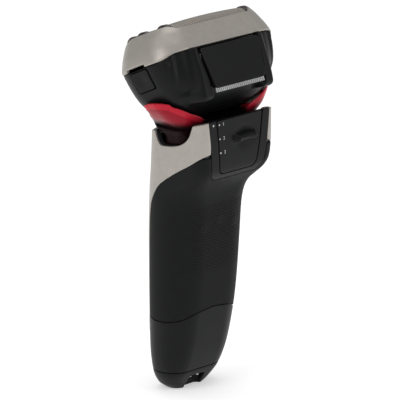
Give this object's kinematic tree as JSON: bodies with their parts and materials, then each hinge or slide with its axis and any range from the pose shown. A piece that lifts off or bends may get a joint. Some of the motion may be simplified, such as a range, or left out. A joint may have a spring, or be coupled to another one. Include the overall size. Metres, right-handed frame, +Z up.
{
  "type": "electric shaver",
  "caption": "Cordless foil shaver with a tilting, swinging head, lift-off foil cassette, flip-out trimmer, three-way slide switch and a tapered grip handle.",
  "frame": {"origin": "on the small flat of the foot, in the middle of its width, at the lowest point of the handle", "axes": "+Z up the handle towards the foils, +Y towards the slide switch and trimmer side, +X along the head to the left as seen from that side"},
  "size_m": [0.068, 0.0469, 0.1623],
  "materials": {
    "silver": "satin metallic coat",
    "grip_rubber": "fine matte rubber",
    "black_satin": "satin moulded",
    "black_gloss": "piano gloss",
    "crimson": "translucent gloss lacquer",
    "inner_plastic": "moulded",
    "foil_steel": "fine perforated foil",
    "steel": "ground",
    "spring_steel": "drawn wire",
    "magnet": "nickel plate",
    "iron": "stacked laminations",
    "copper": "enamelled wire",
    "board_green": "solder mask",
    "chip_black": "moulded",
    "cell_wrap": "shrink sleeve",
    "nickel": "nickel strip",
    "window": "smoked",
    "seal_rubber": "moulded",
    "chrome": "polished"
  },
  "bodies": {
    "handle": {"side_panel_left": "silver", "side_panel_right": "silver", "grip_skin": "grip_rubber", "lower_cover": "black_satin", "front_fascia": "black_gloss", "charge_window": "window", "switch_frame": "black_satin", "housing_front": "inner_plastic", "housing_rear": "inner_plastic", "bottom_cap": "black_satin", "cap_seal": "seal_rubber", "inlet_pins": "chrome", "circuit_board": "board_green", "chassis": "inner_plastic", "battery": "cell_wrap", "battery_tabs": "nickel", "chassis_screws": "steel", "power_switch": "chip_black", "board_parts": "chip_black", "power_ring": "chrome", "slide_detent": "spring_steel", "neck_socket": "black_satin", "swing_pin": "steel", "centering_springs": "spring_steel"},
    "switch": {"switch_slide": "black_satin", "slide_retainer": "inner_plastic"},
    "button": {"power_button": "black_gloss"},
    "yoke": {"yoke_cradle": "crimson", "yoke_neck": "black_gloss"},
    "head": {"head_base": "black_satin", "head_deck": "black_satin", "motor_frame": "inner_plastic", "deck_screws": "steel", "motor_core": "iron", "motor_coil": "copper", "motor_springs": "spring_steel", "head_pivot_pins": "steel", "release_springs": "spring_steel", "trimmer_hinge_pin": "steel", "blade_springs": "spring_steel"},
    "rail_outer": {"drive_rail_outer": "inner_plastic", "magnets_outer": "magnet"},
    "rail_center": {"drive_rail_center": "inner_plastic", "magnets_center": "magnet"},
    "blade_front_body": {"blade_front": "steel"},
    "blade_center_body": {"blade_center": "steel"},
    "blade_rear_body": {"blade_rear": "steel"},
    "cassette": {"foil_frame": "silver", "foil_holder": "black_satin"},
    "foil_front_body": {"foil_front": "foil_steel", "foil_caps_front": "black_satin"},
    "foil_center_body": {"foil_center": "foil_steel", "foil_caps_center": "black_satin"},
    "foil_rear_body": {"foil_rear": "foil_steel", "foil_caps_rear": "black_satin"},
    "release_key_left": {"release_left": "black_satin"},
    "release_key_right": {"release_right": "black_satin"},
    "trimmer": {"trimmer_cover": "black_satin", "trimmer_comb": "steel"},
    "trimmer_cutter": {"trimmer_blade": "steel"}
  },
  "joints": [
    {"name": "neck_swing", "type": "hinge", "parent": "handle", "child": "yoke", "pos_m": [0, 0.013, 0.114], "axis": [0, 1, 0], "range_deg": [-2.5, 2.5], "stiffness_Nm_per_rad": 0.6},
    {"name": "head_pivot", "type": "hinge", "parent": "yoke", "child": "head", "pos_m": [0, 0.012, 0.128], "axis": [1, 0, 0], "range_deg": [-6, 6], "stiffness_Nm_per_rad": 0.5},
    {"name": "cassette_lift", "type": "slide", "parent": "head", "child": "cassette", "axis": [0, -0.4226, 0.9063], "range_m": [0, 0.025]},
    {"name": "switch_travel", "type": "slide", "parent": "handle", "child": "switch", "axis": [0, 0, 1], "range_m": [0, 0.013]},
    {"name": "trimmer_flip", "type": "hinge", "parent": "head", "child": "trimmer", "pos_m": [0, 0.02452, 0.15021], "axis": [1, 0, 0], "range_deg": [0, 60]},
    {"name": "trimmer_stroke", "type": "slide", "parent": "trimmer", "child": "trimmer_cutter", "axis": [1, 0, 0], "range_m": [-0.0008, 0.0008]},
    {"name": "drive_outer", "type": "slide", "parent": "head", "child": "rail_outer", "axis": [1, 0, 0], "range_m": [-0.001, 0.001], "stiffness_N_per_m": 900},
    {"name": "drive_center", "type": "slide", "parent": "head", "child": "rail_center", "axis": [1, 0, 0], "range_m": [-0.001, 0.001]},
    {"name": "button_press", "type": "slide", "parent": "handle", "child": "button", "axis": [0, 1, 0], "range_m": [0, 0.0007], "stiffness_N_per_m": 900},
    {"name": "release_left_press", "type": "slide", "parent": "head", "child": "release_key_left", "axis": [-1, 0, 0], "range_m": [0, 0.001], "stiffness_N_per_m": 600},
    {"name": "release_right_press", "type": "slide", "parent": "head", "child": "release_key_right", "axis": [1, 0, 0], "range_m": [0, 0.001], "stiffness_N_per_m": 600},
    {"name": "foil_front_float", "type": "slide", "parent": "cassette", "child": "foil_front_body", "axis": [0, -0.4226, 0.9063], "range_m": [-0.0012, 0], "stiffness_N_per_m": 500},
    {"name": "blade_front_float", "type": "slide", "parent": "rail_outer", "child": "blade_front_body", "axis": [0, -0.4226, 0.9063], "range_m": [-0.0012, 0]},
    {"name": "foil_center_float", "type": "slide", "parent": "cassette", "child": "foil_center_body", "axis": [0, -0.4226, 0.9063], "range_m": [-0.0012, 0], "stiffness_N_per_m": 500},
    {"name": "blade_center_float", "type": "slide", "parent": "rail_center", "child": "blade_center_body", "axis": [0, -0.4226, 0.9063], "range_m": [-0.0012, 0]},
    {"name": "foil_rear_float", "type": "slide", "parent": "cassette", "child": "foil_rear_body", "axis": [0, -0.4226, 0.9063], "range_m": [-0.0012, 0], "stiffness_N_per_m": 500},
    {"name": "blade_rear_float", "type": "slide", "parent": "rail_outer", "child": "blade_rear_body", "axis": [0, -0.4226, 0.9063], "range_m": [-0.0012, 0]}
  ],
  "couplings": [
    {"joint": "drive_center", "follows": "drive_outer", "ratio": -1},
    {"joint": "trimmer_stroke", "follows": "drive_outer", "ratio": 0.8},
    {"joint": "trimmer_flip", "follows": "switch_travel", "rad_per_m": 80.5},
    {"joint": "blade_front_float", "follows": "foil_front_float", "ratio": 1},
    {"joint": "blade_center_float", "follows": "foil_center_float", "ratio": 1},
    {"joint": "blade_rear_float", "follows": "foil_rear_float", "ratio": 1}
  ]
}
